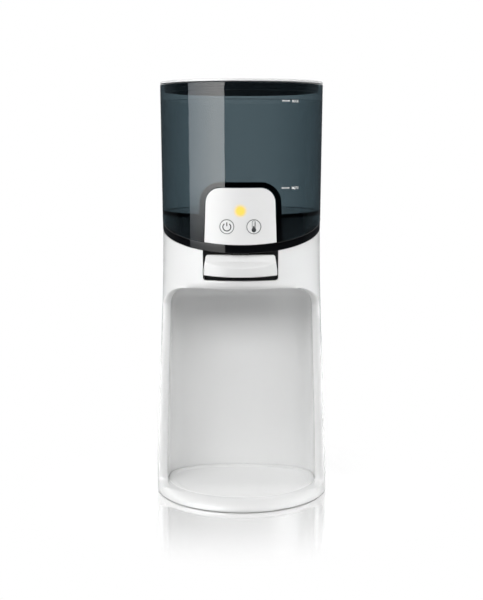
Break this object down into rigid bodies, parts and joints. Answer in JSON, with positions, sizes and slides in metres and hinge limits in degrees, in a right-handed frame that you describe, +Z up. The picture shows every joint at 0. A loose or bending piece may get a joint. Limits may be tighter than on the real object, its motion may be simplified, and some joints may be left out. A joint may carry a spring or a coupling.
{
  "type": "instant water warmer",
  "caption": "Upright countertop water warmer: smoke-tinted lift-off tank and white lid over a flared white housing with a deep bottle niche, slanted black band, arch panel and push-down lever.",
  "frame": {"origin": "centre of the foot circle on the surface it stands on", "axes": "+Z up along the housing axis, -Y out of the front (panel, lever, niche mouth), +X to the right seen from the front"},
  "size_m": [0.154, 0.154, 0.3656],
  "materials": {
    "white_shell": "moulded satin-gloss white",
    "white_panel": "glossy white fascia",
    "black_gloss": "piano black",
    "black_plastic": "fine-textured black",
    "smoke_plastic": "clear smoke-tinted copolyester",
    "navy_silicone": "dark blue-black silicone",
    "foot_rubber": "matt black rubber",
    "amber_lens": "diffuse yellow lens",
    "grey_plastic": "mid grey heat-resistant plastic",
    "silicone": "translucent white silicone",
    "aluminium": "cast, bead-blasted",
    "steel": "bright stainless",
    "white_ceramic": "white glazed fuse body",
    "board_green": "green solder resist"
  },
  "bodies": {
    "base": {"front_housing": "white_shell", "rear_cover": "white_shell", "base_plate": "black_plastic", "foot_1": "foot_rubber", "foot_2": "foot_rubber", "foot_3": "foot_rubber", "foot_4": "foot_rubber", "base_screw_1": "steel", "base_screw_2": "steel", "base_screw_3": "steel", "base_screw_4": "steel", "tank_deck": "black_gloss", "deck_socket": "black_plastic", "socket_seal": "silicone", "heater_block": "aluminium", "inlet_hose": "silicone", "outlet_hose": "silicone", "thermistor": "steel", "thermal_fuse": "white_ceramic", "valve_body": "grey_plastic", "valve_cap": "grey_plastic", "valve_spring": "steel", "spout_nozzle": "grey_plastic", "lever_pin": "steel", "lever_bracket": "grey_plastic", "lever_bezel": "black_plastic", "panel_tower": "black_plastic", "control_panel": "white_panel", "power_switch": "black_plastic", "temperature_switch": "black_plastic", "status_light": "amber_lens", "status_led": "amber_lens", "control_board": "board_green", "power_board": "board_green", "power_inlet": "black_plastic"},
    "tray": {"drip_tray": "white_shell"},
    "lever": {"dispense_lever": "white_shell"},
    "plunger": {"valve_plunger": "silicone"},
    "power_button": {"power_key": "white_panel"},
    "temperature_button": {"temperature_key": "white_panel"},
    "tank": {"water_tank": "smoke_plastic", "poppet_spring": "steel"},
    "poppet": {"tank_poppet": "silicone"},
    "lid": {"tank_lid": "white_shell", "lid_gasket": "navy_silicone"}
  },
  "joints": [
    {"name": "tank_lift", "type": "slide", "parent": "base", "child": "tank", "axis": [0, 0, 1], "range_m": [0, 0.06]},
    {"name": "lid_lift", "type": "slide", "parent": "tank", "child": "lid", "axis": [0, 0, 1], "range_m": [0, 0.03]},
    {"name": "tray_lift", "type": "slide", "parent": "base", "child": "tray", "axis": [0, 0, 1], "range_m": [0, 0.02]},
    {"name": "lever_press", "type": "hinge", "parent": "base", "child": "lever", "pos_m": [0, -0.044, 0.213], "axis": [1, 0, 0], "range_deg": [0, 5.5], "stiffness_Nm_per_rad": 1.5, "springref_deg": -2.86},
    {"name": "valve_rise", "type": "slide", "parent": "base", "child": "plunger", "axis": [0, 0, 1], "range_m": [0, 0.0036], "deforming": ["valve_spring"]},
    {"name": "power_press", "type": "slide", "parent": "base", "child": "power_button", "axis": [0, 1, 0], "range_m": [0, 0.0008], "stiffness_N_per_m": 800, "springref_m": -0.0006},
    {"name": "temperature_press", "type": "slide", "parent": "base", "child": "temperature_button", "axis": [0, 1, 0], "range_m": [0, 0.0008], "stiffness_N_per_m": 800, "springref_m": -0.0006},
    {"name": "poppet_close", "type": "slide", "parent": "tank", "child": "poppet", "axis": [0, 0, 1], "range_m": [-0.0026, 0], "stiffness_N_per_m": 60, "springref_m": -0.004, "deforming": ["poppet_spring"]}
  ],
  "couplings": [
    {"joint": "valve_rise", "follows": "lever_press", "m_per_rad": 0.036},
    {"joint": "poppet_close", "follows": "tank_lift", "ratio": -0.041667}
  ]
}
